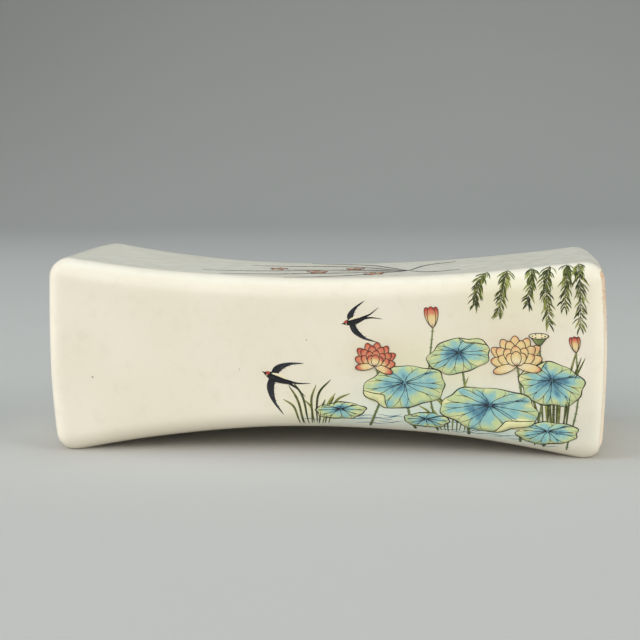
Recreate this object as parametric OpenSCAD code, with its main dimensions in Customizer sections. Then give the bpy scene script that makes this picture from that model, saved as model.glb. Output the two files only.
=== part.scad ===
// Waisted porcelain pillow block with square ends, built of six rolled clay slabs.
// The slabs meet in 45 degree mitres, luted with slip. A coil of clay is worked
// into every inside corner. The block lies along X, with its painted face towards -Y.
// All lengths are in millimetres.

/* [Body] */
// Length of the block between its end edges
body_length = 200; // [160:1:260]
// Side of the square ends
end_size = 71.4; // [60:0.1:90]
// Depth of the hollow in the headrest, below its left end
headrest_dip = 8.2; // [5:0.1:11]
// How much lower the headrest ends at the right, where the soft block has settled
headrest_fall = 2.3; // [0:0.1:4]
// Depth of the hollow along the front and the back
wall_dip = 5; // [2:0.1:9]
// Rise of the arch under the base, before its feet are ground
base_dip = 9.1; // [5:0.1:12]
// Swell of the end faces between their corners
end_crown = 1; // [0.2:0.1:2]
// Radius of every outer edge
edge_radius = 7; // [4:0.5:9]

/* [Slabs] */
// Thickness of the rolled slabs
slab_thickness = 6; // [4:0.5:8]
// Film of slip between two luted faces
slip_film = 0.2; // [0.1:0.05:0.4]
// Depth ground off under the two ends, so that the block stands flat
foot_grind = 0.4; // [0.2:0.05:0.8]

/* [Seam coils] */
// Width of a coil where it is pressed against each wall
coil_leg = 5; // [3:0.5:7]
// Thickness of a coil at its smoothed rim
coil_lip = 0.6; // [0.4:0.1:1]

/* [Vent] */
// Bore of the steam vent in the bare end
vent_diameter = 8; // [5:0.5:12]

/* [Hidden] */
LONG_SLABS = ["headrest_slab", "front_slab", "base_slab", "back_slab"];
LONG_COILS = ["coil_top_front", "coil_base_front", "coil_base_back", "coil_top_back"];
LEFT_COILS = ["coil_left_top", "coil_left_front", "coil_left_base", "coil_left_back"];
RIGHT_COILS = ["coil_right_top", "coil_right_front", "coil_right_base", "coil_right_back"];

// Steps along a hollow, round half an edge, and round the face of a coil
arc_steps = 16;
edge_steps = 4;
coil_steps = 6;
bore_fn = 64;

glaze_white = [0.93, 0.90, 0.82];
bare_clay = [0.86, 0.80, 0.71];
coil_clay = [0.80, 0.74, 0.66];

// The core is the block drawn in by the edge radius on every side
core_x = body_length/2 - edge_radius;
core_half = end_size/2 - edge_radius;
cavity_x = body_length/2 - slab_thickness;

// Each mitred face stands back by half the film of slip
mitre_angle = 45 - asin(slip_film/2/edge_radius);
mitre_back = slip_film/sqrt(2);

axis_z = end_size/2 - foot_grind;

// The long faces are numbered round the block: 0 headrest, 1 front, 2 base, 3 back.
// The ends are told apart by side: -1 left, 1 right.
function dip(face) = [headrest_dip, wall_dip, base_dip, wall_dip][face % 4];
// How far a face climbs from its middle to the end on the side where x lies
function climb(face, x) = dip(face) - (face % 4 == 0 && x > 0 ? headrest_fall : 0);
// The face next to a long face, on the side where its columns have that sign
function beside(face, sign) = face + (sign < 0 ? 1 : 3);

// Radius of the arc along the core of a face at x, its distance from the axis there, and its tilt
function core_arc(face, x) =
    let (rise = climb(face, x))
    (core_x*core_x + rise*rise)/(2*rise);
function core_out(face, x) =
    let (arc = core_arc(face, x))
    core_half - dip(face) + arc - sqrt(arc*arc - x*x);
function tilt(face, x) = -asin(x/core_arc(face, x));

// Distance of the cavity's wall from the axis at x: the outer face moved in by a slab's thickness
function cavity_out(face, x) =
    let (arc = core_arc(face, x), inner_arc = arc - edge_radius + slab_thickness)
    core_half - dip(face) + arc - sqrt(inner_arc*inner_arc - x*x);

function unit(v) = v/norm(v);
function flat(grid) = [for (row = grid) each row];

// Stations along a long face, as [core x, tilt of the face there]:
// round the left edge, along the hollow, then round the right edge
function stations(face) = concat(
    [for (i = [edge_steps:-1:1]) [-core_x, edge_tilt(face, -1, i/edge_steps)]],
    [for (i = [0:arc_steps]) let (x = core_x*(2*i/arc_steps - 1)) [x, tilt(face, x)]],
    [for (i = [1:edge_steps]) [core_x, edge_tilt(face, 1, i/edge_steps)]]
);
function edge_tilt(face, side, share) =
    let (start = tilt(face, side*core_x))
    start + (side*mitre_angle - start)*share;

// Columns across a face, as [share of the core's half width, tilt of the face there]
function columns() = concat(
    [for (i = [0:edge_steps - 1]) [-1, mitre_angle*(i/edge_steps - 1)]],
    [for (f = [-1:0.5:1]) [f, 0]],
    [for (i = [1:edge_steps]) [1, mitre_angle*i/edge_steps]]
);

// How far a column lies from the middle, as a share of the way to the mitre
function across(c) = (c[0]*core_half + edge_radius*sin(c[1]))/(core_half + edge_radius*sin(mitre_angle));
function along(s) = (s[0] + edge_radius*sin(s[1]))/(core_x + edge_radius*sin(mitre_angle));

// One point of a long slab's outer face, and the point of its inner face below it
function long_outer(face, s, c) =
    let (stretch = 1 + end_crown*(1 - c[0]*c[0])/core_x, half = core_out(beside(face, c[0]), s[0]))
    [s[0]*stretch, c[0]*half, core_out(face, s[0])] + edge_radius*unit([tan(s[1]), tan(c[1]), 1]);
function long_inner(face, s, c) =
    let (x = along(s)*(cavity_x - mitre_back), half = cavity_out(beside(face, c[0]), x))
    [x, across(c)*(half - mitre_back), cavity_out(face, x)];

// The same for the end slab of one side, drawn facing +X
function end_outer(side, c, d) =
    let (half = core_out(beside(0, c[0]), side*core_x), rise = core_out(d[0] < 0 ? 2 : 0, side*core_x))
    [core_x + end_crown*(1 - pow(c[0]*d[0], 2)), c[0]*half, d[0]*rise]
    + edge_radius*unit([1, tan(c[1]), tan(d[1])]);
function end_inner(side, c, d) =
    let (half = cavity_out(beside(0, c[0]), side*cavity_x), rise = cavity_out(d[0] < 0 ? 2 : 0, side*cavity_x))
    [cavity_x, across(c)*(half - mitre_back), across(d)*(rise - mitre_back)];

// Solid between two grids of points of the same size, closed round the rim
module plate(outer, inner) {
    rows = len(outer);
    cols = len(outer[0]);
    below = rows*cols;
    rim = concat(
        [for (j = [0:cols - 2]) j],
        [for (i = [0:rows - 2]) i*cols + cols - 1],
        [for (j = [cols - 1:-1:1]) (rows - 1)*cols + j],
        [for (i = [rows - 1:-1:1]) i*cols]
    );
    faces = concat(
        [for (i = [0:rows - 2], j = [0:cols - 2]) let (p = i*cols + j)
            each [[p, p + 1, p + cols], [p + 1, p + cols + 1, p + cols]]],
        [for (i = [0:rows - 2], j = [0:cols - 2]) let (p = below + i*cols + j)
            each [[p, p + cols, p + 1], [p + 1, p + cols, p + cols + 1]]],
        [for (k = [0:len(rim) - 1]) let (p = rim[k], q = rim[(k + 1) % len(rim)])
            each [[p, p + below, q], [q, p + below, q + below]]]
    );
    polyhedron(concat(flat(outer), flat(inner)), faces, convexity = 4);
}

// Solid through a row of rings with the same number of points, capped at both ends
module loft(rings) {
    n = len(rings[0]);
    last = (len(rings) - 1)*n;
    faces = concat(
        [[for (k = [n - 1:-1:0]) k], [for (k = [0:n - 1]) last + k]],
        [for (i = [0:len(rings) - 2], k = [0:n - 1]) let (p = i*n + k, q = i*n + (k + 1) % n)
            each [[p, q, p + n], [q, q + n, p + n]]]
    );
    polyhedron(flat(rings), faces, convexity = 4);
}

// Turns a piece drawn face up round the block's axis to its own face
module turned(face) {
    translate([0, 0, axis_z])
        rotate([90*face, 0, 0])
            children();
}

module long_slab(face) {
    turned(face)
        plate([for (s = stations(face)) [for (c = columns()) long_outer(face, s, c)]],
              [for (s = stations(face)) [for (c = columns()) long_inner(face, s, c)]]);
}

module end_slab(side) {
    turned(0)
        plate([for (d = columns()) [for (c = columns()) end_outer(side, c, d)]],
              [for (d = columns()) [for (c = columns()) end_inner(side, c, d)]]);
}

// Section of a coil in a corner whose walls run back along -u and -v from [0, 0].
// drop is how far the first wall falls away along the leg.
function coil_section(drop = 0) = concat(
    [[0, 0], [-coil_leg, -drop]],
    [for (i = [0:coil_steps]) let (a = 90*i/coil_steps)
        [-coil_leg + (coil_leg - coil_lip)*sin(a),
         -coil_leg + (coil_leg - coil_lip - drop)*cos(a)]],
    [[0, -coil_leg]]
);

// Coil in the corner of a long face and the next one round, following the hollow of both
module long_coil(face) {
    reach = cavity_x - slip_film;
    turned(face)
        loft([for (i = [0:arc_steps])
            let (x = reach*(2*i/arc_steps - 1),
                 half = cavity_out(beside(face, -1), x) - slip_film,
                 rise = cavity_out(face, x) - slip_film)
                [for (p = coil_section()) [x, -half - p[0], rise + p[1]]]]);
}

// Coil in the corner of a long face and the end of one side, drawn at +X between two long coils
module end_coil(side, face) {
    corner_x = cavity_x - slip_film;
    inner_x = corner_x - coil_leg;
    rise = cavity_out(face, side*corner_x);
    drop = rise - cavity_out(face, side*inner_x);
    reach = [for (sign = [-1, 1]) cavity_out(beside(face, sign), side*inner_x) - coil_leg - 2*slip_film];
    turned(face)
        translate([corner_x, reach[1], rise - slip_film])
            rotate([90, 0, 0])
                linear_extrude(reach[0] + reach[1])
                    polygon(coil_section(drop));
}

module headrest_slab() {
    color(glaze_white) long_slab(0);
}

module front_slab() {
    color(glaze_white) long_slab(1);
}

// The slab that stands on the table, with a land ground flat under each end
module base_slab() {
    color(glaze_white)
        difference() {
            long_slab(2);
            translate([-body_length, -end_size, -end_size])
                cube([2*body_length, 2*end_size, end_size]);
        }
}

module back_slab() {
    color(glaze_white) long_slab(3);
}

module left_end_slab() {
    color(glaze_white) mirror([1, 0, 0]) end_slab(-1);
}

// The bare end that the block was fired on, pierced so that steam could leave
module right_end_slab() {
    color(bare_clay)
        difference() {
            end_slab(1);
            translate([0, 0, axis_z])
                rotate([0, 90, 0])
                    cylinder(h = body_length, d = vent_diameter, $fn = bore_fn);
        }
}

module seam_coil(face) {
    color(coil_clay) long_coil(face);
}

module left_coil(face) {
    color(coil_clay) mirror([1, 0, 0]) end_coil(-1, face);
}

module right_coil(face) {
    color(coil_clay) end_coil(1, face);
}

headrest_slab();
front_slab();
base_slab();
back_slab();
left_end_slab();
right_end_slab();
for (k = [0:3]) {
    seam_coil(k);
    left_coil(k);
    right_coil(k);
}
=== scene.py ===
"""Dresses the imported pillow: a glaze coat over its luted slabs, the bare end, and overglaze enamels.

Shapes are worked out in millimetres in the CAD frame and scaled to metres as each piece is made.
"""

import logging
import math
import random
from dataclasses import dataclass
from enum import Enum
from functools import partial
from typing import Callable, Sequence

import bmesh
import bpy
from mathutils import Matrix, Vector, noise


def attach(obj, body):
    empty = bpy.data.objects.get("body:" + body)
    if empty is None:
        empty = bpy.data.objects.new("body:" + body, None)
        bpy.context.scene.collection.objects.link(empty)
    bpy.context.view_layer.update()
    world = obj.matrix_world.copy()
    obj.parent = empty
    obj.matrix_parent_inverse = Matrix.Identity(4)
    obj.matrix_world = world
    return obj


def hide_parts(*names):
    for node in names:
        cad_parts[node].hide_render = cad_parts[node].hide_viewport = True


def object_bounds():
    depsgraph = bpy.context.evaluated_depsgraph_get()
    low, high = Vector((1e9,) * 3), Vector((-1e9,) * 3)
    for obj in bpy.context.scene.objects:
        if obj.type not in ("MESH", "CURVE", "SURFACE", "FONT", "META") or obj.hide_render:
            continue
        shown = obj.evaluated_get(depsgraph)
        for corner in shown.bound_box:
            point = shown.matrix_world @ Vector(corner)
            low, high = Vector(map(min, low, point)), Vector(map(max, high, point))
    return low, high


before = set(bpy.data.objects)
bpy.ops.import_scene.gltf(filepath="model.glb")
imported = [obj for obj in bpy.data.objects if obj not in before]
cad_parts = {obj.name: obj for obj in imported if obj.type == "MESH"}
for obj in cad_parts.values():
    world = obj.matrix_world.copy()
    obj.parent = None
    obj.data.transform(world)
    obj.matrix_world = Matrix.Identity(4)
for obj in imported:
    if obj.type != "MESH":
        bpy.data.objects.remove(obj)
cad_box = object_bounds()

log = logging.getLogger("pillow")

MM = 0.001
BODY = "root"
IMAGE_SIDE = 640
SENSOR = 36.0
QUARTER = math.pi / 2
CLOSE = 1e-6

Mesh = bmesh.types.BMesh
Edges = list[bmesh.types.BMEdge]
Socket = bpy.types.NodeSocket
Material = bpy.types.Material
Colour = tuple[float, float, float]
Outline = Callable[[float], Vector]
Along = Callable[[float], float]


def srgb(red: int, green: int, blue: int) -> Colour:
    """Turns a colour written in 0 to 255 steps of sRGB into linear light.

    Args:
        red: Red step.
        green: Green step.
        blue: Blue step.

    Returns:
        The colour in linear light.
    """
    def linear(step: int) -> float:
        """Turns one sRGB step into linear light."""
        share = step / 255
        return share / 12.92 if share <= 0.04045 else ((share + 0.055) / 1.055) ** 2.4

    return linear(red), linear(green), linear(blue)


def smooth_step(low: float, high: float, value: float) -> float:
    """Rises smoothly from 0 at low to 1 at high."""
    share = min(1.0, max(0.0, (value - low) / (high - low)))
    return share * share * (3 - 2 * share)


def edges_along(mesh: Mesh, axis: int) -> Edges:
    """Lists the edges that run the whole length of a cube of side 2 along an axis."""
    return [e for e in mesh.edges if abs(e.verts[0].co[axis] - e.verts[1].co[axis]) > 1]


def edges_across(mesh: Mesh) -> Edges:
    """Lists the edges that lie square to the X axis."""
    return [e for e in mesh.edges if abs(e.verts[0].co.x - e.verts[1].co.x) < CLOSE]


def divide(mesh: Mesh, edges: Edges, parts: int) -> None:
    """Cuts edges into equal parts and fills the faces between them with a grid."""
    if parts > 1:
        bmesh.ops.subdivide_edges(mesh, edges=edges, cuts=parts - 1, use_grid_fill=True)


class Face(Enum):
    """A long face of the block, by its quarter turns round the long axis."""

    TOP = 0
    FRONT = 1
    BASE = 2
    BACK = 3

    def beside(self, sign: float) -> "Face":
        """Gives the next face on the side where distances across this one have that sign."""
        return Face((self.value + (1 if sign < 0 else 3)) % 4)

    @property
    def across(self) -> tuple[int, int]:
        """The axis that runs across the face, and the sign with which it is counted."""
        return {Face.TOP: (1, 1), Face.FRONT: (2, 1), Face.BASE: (1, -1), Face.BACK: (2, -1)}[self]

    @staticmethod
    def of_cube(share: Vector) -> "Face | None":
        """Finds the long face that a point on a cube of side 2 lies on.

        Args:
            share: The point.

        Returns:
            The face, or None on an end.
        """
        if abs(share.z) > 1 - CLOSE:
            return Face.TOP if share.z > 0 else Face.BASE
        if abs(share.y) > 1 - CLOSE:
            return Face.BACK if share.y > 0 else Face.FRONT
        return None


class Layer(Enum):
    """A painted layer: the name of its piece and the record's slot for its finish."""

    STEM = ("lotus_stems", "enamel_green")
    LEAF = ("lotus_leaves", "enamel_blue")
    PETAL = ("lotus_petals", "enamel_yellow")
    WILLOW = ("willow_leaves", "enamel_green")
    CORAL = ("coral_marks", "enamel_coral")
    PLUMAGE = ("swallow_plumage", "enamel_ink")
    INK = ("ink_lines", "enamel_ink")


@dataclass(frozen=True)
class BlockForm:
    """The block's shape, from the same driving sizes as its solids, in millimetres."""

    body_length: float = 200.0
    end_size: float = 71.4
    headrest_dip: float = 8.2
    headrest_fall: float = 2.3
    wall_dip: float = 5.0
    base_dip: float = 9.1
    end_crown: float = 1.0
    edge_radius: float = 7.0
    foot_grind: float = 0.4
    wave_height: float = 0.22
    wave_length: float = 34.0
    wrap_limit: float = 0.95

    @property
    def core_x(self) -> float:
        """Half the length between the centres of the end roundings."""
        return self.body_length / 2 - self.edge_radius

    @property
    def core_half(self) -> float:
        """Half the end's side between the centres of its roundings."""
        return self.end_size / 2 - self.edge_radius

    @property
    def axis_z(self) -> float:
        """Height of the long axis above the table."""
        return self.end_size / 2 - self.foot_grind

    def dip(self, face: Face) -> float:
        """Gives the depth of a face's hollow."""
        return {Face.TOP: self.headrest_dip, Face.BASE: self.base_dip}.get(face, self.wall_dip)

    def climb(self, face: Face, x: float) -> float:
        """Gives how far a face climbs from its middle to the end on the side where x lies."""
        return self.dip(face) - (self.headrest_fall if face is Face.TOP and x > 0 else 0)

    def core_arc(self, face: Face, x: float) -> float:
        """Gives the radius of the hollow that the centres of a face's roundings follow at x."""
        climb = self.climb(face, x)
        return (self.core_x ** 2 + climb ** 2) / (2 * climb)

    def core_out(self, face: Face, x: float, inwards: float = 0.0) -> float:
        """Finds how far from the long axis the core of a face lies.

        Args:
            face: The face.
            x: Place along the block.
            inwards: How far below the core to measure.

        Returns:
            The distance.
        """
        arc = self.core_arc(face, x)
        return self.core_half - self.dip(face) + arc - math.sqrt((arc + inwards) ** 2 - x ** 2)

    def tilt(self, face: Face, x: float) -> float:
        """Gives the slope of a face's hollow at x, as an angle."""
        return -math.asin(x / self.core_arc(face, x))

    def wave(self, point: Vector) -> float:
        """Gives the slight unevenness of a hand-rolled slab at a point."""
        return self.wave_height * noise.noise(point / self.wave_length)

    def raised(self, core: Vector, normal: Vector, grow: float) -> Vector:
        """Moves from the core to the surface.

        Args:
            core: Point of the core.
            normal: Direction outwards, of any length.
            grow: Height above the slabs' outer face.

        Returns:
            The point, in the CAD frame.
        """
        normal = normal.normalized()
        point = core + normal * (self.edge_radius + grow)
        return point + normal * self.wave(point) + Vector((0, 0, self.axis_z))

    def long_point(
        self, face: Face, x: float, tilt: float, across: float, lean: float, grow: float
    ) -> Vector:
        """Finds a point on a long face.

        Args:
            face: The face.
            x: Place along the core.
            tilt: Angle of the surface along the block.
            across: Share of the core's half width, from -1 to 1.
            lean: Angle of the surface across the face.
            grow: Height above the slabs' outer face.

        Returns:
            The point, in the CAD frame.
        """
        stretch = 1 + self.end_crown * (1 - across ** 2) / self.core_x
        side = self.core_out(face.beside(across), x)
        core = Vector((x * stretch, across * side, self.core_out(face, x)))
        normal = Vector((math.tan(tilt), math.tan(lean), 1))
        turn = Matrix.Rotation(QUARTER * face.value, 3, "X")
        return self.raised(turn @ core, turn @ normal, grow)

    def cube_point(self, share: Vector, edge_share: Vector, grow: float) -> Vector:
        """Maps a point on the surface of a cube of side 2 to the block's surface.

        Args:
            share: Point on the cube.
            edge_share: Share of each half side that rounds the edge.
            grow: Height above the slabs' outer face.

        Returns:
            The point, in the CAD frame.
        """
        flat, lean = [], []
        for value, edge in zip(share, edge_share):
            over = max(0.0, (abs(value) - (1 - edge)) / edge)
            flat.append(max(-1.0, min(1.0, value / (1 - edge))))
            lean.append(math.copysign(over * QUARTER / 2, value))
        face = Face.of_cube(share)
        if face is None:
            side = math.copysign(1, share.x)
            crown = self.end_crown * (1 - (flat[1] * flat[2]) ** 2)
            rise = self.core_out(Face.TOP if flat[2] > 0 else Face.BASE, side * self.core_x)
            core = Vector((side * (self.core_x + crown), flat[1] * self.core_half, flat[2] * rise))
            return self.raised(core, Vector((side, math.tan(lean[1]), math.tan(lean[2]))), grow)
        x = self.core_x * flat[0]
        tilt = self.tilt(face, x) * (1 - abs(lean[0]) / (QUARTER / 2)) + lean[0]
        other, sign = face.across
        return self.long_point(face, x, tilt, sign * flat[other], sign * lean[other], grow)

    def end_turn(self, share: Vector, edge_share: Vector) -> float:
        """Finds how far round the edge of the right end a point on the cube lies.

        Args:
            share: Point on the cube.
            edge_share: Share of each half side that rounds the edge.

        Returns:
            The angle, from 0 on a long face to a quarter turn on the end.
        """
        if Face.of_cube(share) is not None:
            return QUARTER / 2 * max(0.0, 1 - (1 - share.x) / edge_share.x)
        inwards = min((1 - abs(value)) / edge for value, edge in zip(share.yz, edge_share.yz))
        return QUARTER / 2 * (1 + min(1.0, inwards)) if share.x > 0 else 0.0

    def face_point(self, face: Face, u: float, v: float, grow: float) -> Vector:
        """Lays a flat point on a long face, round its edges if it reaches them.

        Args:
            face: The face.
            u: Distance along the block from its middle, towards +X.
            v: Distance across the face from its middle, upwards on the front.
            grow: Height above the slabs' outer face.

        Returns:
            The point, in the CAD frame.
        """
        arc = self.core_arc(face, u)
        reach = self.core_x * (1 - self.edge_radius / arc)
        x = max(-reach, min(reach, u)) / (1 - self.edge_radius / arc)
        tilt = self.tilt(face, x) + math.copysign(max(0.0, abs(u) - reach) / self.edge_radius, u)
        side = self.core_out(face.beside(v), x)
        over = min(max(0.0, abs(v) - side) / self.edge_radius, QUARTER * self.wrap_limit)
        return self.long_point(face, x, tilt, max(-1.0, min(1.0, v / side)), math.copysign(over, v), grow)


@dataclass(frozen=True)
class Clouds:
    """A cloudy pattern: its size in millimetres, its octaves, and the range that it is spread over."""

    size: float
    octaves: float
    low: float
    high: float
    to_low: float
    to_high: float
    stir: float = 0.0


@dataclass(frozen=True)
class Specks:
    """Scattered round specks: spacing and largest radius in millimetres, then number and strength."""

    spacing: float
    radius: float
    number: float
    strength: float


@dataclass(frozen=True)
class Relief:
    """A fine relief: the size and octaves of its bumps, its depth in millimetres, and its strength."""

    size: float
    octaves: float
    depth: float
    strength: float


class NodeSheet:
    """Builds one material's node tree around its Principled shader."""

    MIX_SOCKETS = (0, 6, 7)
    MIX_RESULT = 2
    SPECK_EDGE = 0.25
    FLUSH_GRAIN = Clouds(1.2, 4, 0.3, 0.7, -0.5, 0.25)
    FLUSH_EDGE = (0.3, 1.0)
    FLUSH_RISE = (40.0, 62.0, 0.25, 1.0)

    def __init__(self, name: str) -> None:
        """Starts a material.

        Args:
            name: Its name.
        """
        self.material = bpy.data.materials.new(name)
        self.material.use_nodes = True
        self.tree = self.material.node_tree
        self.shader = self.tree.nodes["Principled BSDF"]
        self.place = self.add("ShaderNodeTexCoord").outputs["Object"]

    def add(self, kind: str, **values: object) -> bpy.types.Node:
        """Adds a node.

        Args:
            kind: Blender's name for the node.
            **values: Properties to set on it.

        Returns:
            The node.
        """
        node = self.tree.nodes.new(kind)
        for key, value in values.items():
            setattr(node, key, value)
        return node

    def feed(self, socket: Socket, value: object) -> None:
        """Links a socket to an output, or sets its value.

        Args:
            socket: The socket.
            value: An output, a colour or a number.
        """
        if isinstance(value, Socket):
            self.tree.links.new(value, socket)
        elif isinstance(value, tuple) and len(value) == 3 and socket.type == "RGBA":
            socket.default_value = (*value, 1.0)
        else:
            socket.default_value = value

    def noise(self, size: float, octaves: float, stir: float = 0.0) -> Socket:
        """Adds a cloudy noise.

        Args:
            size: Rough size of its clouds, in millimetres.
            octaves: Octaves of finer clouds.
            stir: How far the clouds are stirred.

        Returns:
            Its value, about 0.3 to 0.7.
        """
        node = self.add("ShaderNodeTexNoise")
        self.feed(node.inputs["Vector"], self.place)
        self.feed(node.inputs["Scale"], 1 / (size * MM))
        self.feed(node.inputs["Detail"], octaves)
        self.feed(node.inputs["Distortion"], stir)
        return node.outputs["Fac"]

    def clouds(self, kind: Clouds) -> Socket:
        """Adds a cloudy pattern, spread over its range."""
        value = self.noise(kind.size, kind.octaves, kind.stir)
        return self.spread(value, kind.low, kind.high, kind.to_low, kind.to_high)

    def specks(self, kind: Specks) -> Socket:
        """Adds scattered round specks.

        Args:
            kind: Their spacing, size, number and strength.

        Returns:
            Their strength inside a speck and 0 outside.
        """
        cells = self.add("ShaderNodeTexVoronoi")
        self.feed(cells.inputs["Vector"], self.place)
        self.feed(cells.inputs["Scale"], 1 / (kind.spacing * MM))
        pick = self.add("ShaderNodeSeparateColor")
        self.feed(pick.inputs[0], cells.outputs["Color"])
        chosen = self.math("LESS_THAN", pick.outputs[0], kind.number)
        largest = kind.radius / kind.spacing
        limit = self.math("MULTIPLY", self.math("MULTIPLY", pick.outputs[1], chosen), largest)
        near = self.math("SUBTRACT", limit, cells.outputs["Distance"])
        inside = self.spread(near, 0.0, self.SPECK_EDGE * largest, 0.0, 1.0)
        return self.math("MULTIPLY", inside, kind.strength)

    def math(self, operation: str, first: object, second: object = 0.0) -> Socket:
        """Adds a sum of two values.

        Args:
            operation: Blender's name for the sum.
            first: First value.
            second: Second value.

        Returns:
            The result.
        """
        node = self.add("ShaderNodeMath", operation=operation)
        self.feed(node.inputs[0], first)
        self.feed(node.inputs[1], second)
        return node.outputs[0]

    def spread(
        self, value: object, low: float, high: float, to_low: float, to_high: float
    ) -> Socket:
        """Maps a value's range to another range, held within it.

        Args:
            value: The value.
            low: Its low end.
            high: Its high end.
            to_low: What the low end becomes.
            to_high: What the high end becomes.

        Returns:
            The mapped value.
        """
        node = self.add("ShaderNodeMapRange", interpolation_type="SMOOTHSTEP")
        for socket, given in zip(node.inputs, (value, low, high, to_low, to_high)):
            self.feed(socket, given)
        return node.outputs[0]

    def blend(self, share: object, first: object, second: object) -> Socket:
        """Mixes two colours.

        Args:
            share: Share of the second colour.
            first: First colour.
            second: Second colour.

        Returns:
            The mixture.
        """
        node = self.add("ShaderNodeMix", data_type="RGBA")
        for place, value in zip(self.MIX_SOCKETS, (share, first, second)):
            self.feed(node.inputs[place], value)
        return node.outputs[self.MIX_RESULT]

    def ramp(self, value: object, stops: Sequence[tuple[float, Colour]]) -> Socket:
        """Adds a colour ramp.

        Args:
            value: Where to read it.
            stops: Its places and their colours.

        Returns:
            The colour.
        """
        node = self.add("ShaderNodeValToRGB")
        node.color_ramp.interpolation = "EASE"
        marks = node.color_ramp.elements
        while len(marks) < len(stops):
            marks.new(0.5)
        for mark, (place, colour) in zip(marks, stops):
            mark.position = place
            mark.color = (*colour, 1.0)
        self.feed(node.inputs[0], value)
        return node.outputs[0]

    def attribute(self, name: str) -> Socket:
        """Reads a number that the mesh carries at each vertex."""
        return self.add("ShaderNodeAttribute", attribute_name=name).outputs["Fac"]

    def along(self, axis: str) -> Socket:
        """Reads the place along one axis of the CAD frame.

        Args:
            axis: X, Y or Z.

        Returns:
            The place, in millimetres.
        """
        parts = self.add("ShaderNodeSeparateXYZ")
        self.feed(parts.inputs[0], self.place)
        return self.math("MULTIPLY", parts.outputs[axis], 1 / MM)

    def flush_share(self, strength: float) -> Socket:
        """Reads the flush that the mesh carries, broken into grains and stronger towards the top.

        Args:
            strength: The most that it comes to.

        Returns:
            The share of the flush's colour.
        """
        grainy = self.math("ADD", self.attribute("flush"), self.clouds(self.FLUSH_GRAIN))
        near = self.spread(grainy, *self.FLUSH_EDGE, 0.0, strength)
        return self.math("MULTIPLY", near, self.spread(self.along("Z"), *self.FLUSH_RISE))

    def relief(self, kind: Relief) -> None:
        """Gives the surface a fine relief.

        Args:
            kind: Its size, depth and strength.
        """
        node = self.add("ShaderNodeBump")
        self.feed(node.inputs["Height"], self.noise(kind.size, kind.octaves))
        self.feed(node.inputs["Distance"], kind.depth * MM)
        self.feed(node.inputs["Strength"], kind.strength)
        self.feed(self.shader.inputs["Normal"], node.outputs[0])

    def surface(self, colour: object, roughness: object, specular: float = 0.5) -> Material:
        """Sets the shader's main sockets.

        Args:
            colour: Base colour.
            roughness: Roughness.
            specular: Level of the mirrored light.

        Returns:
            The material.
        """
        self.feed(self.shader.inputs["Base Color"], colour)
        self.feed(self.shader.inputs["Roughness"], roughness)
        self.feed(self.shader.inputs["Specular IOR Level"], specular)
        return self.material


@dataclass(frozen=True)
class GlazeFinish:
    """Clear gloss glaze over white porcelain: cream, faintly mottled, specked, flushed at the bare end."""

    cream: Colour = srgb(230, 222, 201)
    pale: Colour = srgb(234, 227, 208)
    stain: Colour = srgb(207, 198, 174)
    iron: Colour = srgb(112, 94, 76)
    flush: Colour = srgb(216, 180, 136)
    flush_strength: float = 0.65
    hazes: tuple[tuple[str, Colour], ...] = (
        ("haze_blue", srgb(150, 196, 190)),
        ("haze_warm", srgb(201, 172, 128)),
        ("haze_green", srgb(206, 203, 128)),
    )
    tint: Clouds = Clouds(46, 2, 0.35, 0.65, 0, 1)
    mottle: Clouds = Clouds(4.5, 6, 0.48, 0.8, 0, 0.2, 0.4)
    specks: tuple[Specks, ...] = (Specks(5, 0.45, 0.22, 0.6), Specks(36, 1.0, 0.4, 0.35))
    ripple: Relief = Relief(2.6, 2, 0.02, 0.35)
    gloss: Clouds = Clouds(6, 3, 0.35, 0.7, 0.16, 0.22)

    def material(self) -> Material:
        """Makes the material.

        Returns:
            The material.
        """
        sheet = NodeSheet("glaze")
        colour = sheet.blend(sheet.clouds(self.tint), self.cream, self.pale)
        colour = sheet.blend(sheet.clouds(self.mottle), colour, self.stain)
        for name, haze in self.hazes:
            colour = sheet.blend(sheet.attribute(name), colour, haze)
        colour = sheet.blend(sheet.flush_share(self.flush_strength), colour, self.flush)
        for kind in self.specks:
            colour = sheet.blend(sheet.specks(kind), colour, self.iron)
        sheet.relief(self.ripple)
        return sheet.surface(colour, sheet.clouds(self.gloss))


@dataclass(frozen=True)
class BiscuitFinish:
    """Bare fired porcelain: dry, fine grained and, where asked, flushed orange towards the glaze line."""

    name: str = "biscuit"
    flushed: bool = False
    clay: Colour = srgb(234, 221, 197)
    grey: Colour = srgb(222, 211, 190)
    flush: Colour = srgb(206, 164, 124)
    grit: Colour = srgb(132, 98, 68)
    flush_strength: float = 1.0
    tint: Clouds = Clouds(14, 4, 0.35, 0.65, 0, 1)
    specks: Specks = Specks(2.2, 0.28, 0.2, 0.6)
    grain: Relief = Relief(0.7, 4, 0.05, 0.6)
    dryness: Clouds = Clouds(5, 3, 0.3, 0.7, 0.62, 0.8)
    specular: float = 0.3

    def material(self) -> Material:
        """Makes the material.

        Returns:
            The material.
        """
        sheet = NodeSheet(self.name)
        colour = sheet.blend(sheet.clouds(self.tint), self.clay, self.grey)
        if self.flushed:
            colour = sheet.blend(sheet.flush_share(self.flush_strength), colour, self.flush)
        colour = sheet.blend(sheet.specks(self.specks), colour, self.grit)
        sheet.relief(self.grain)
        return sheet.surface(colour, sheet.clouds(self.dryness), self.specular)


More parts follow.
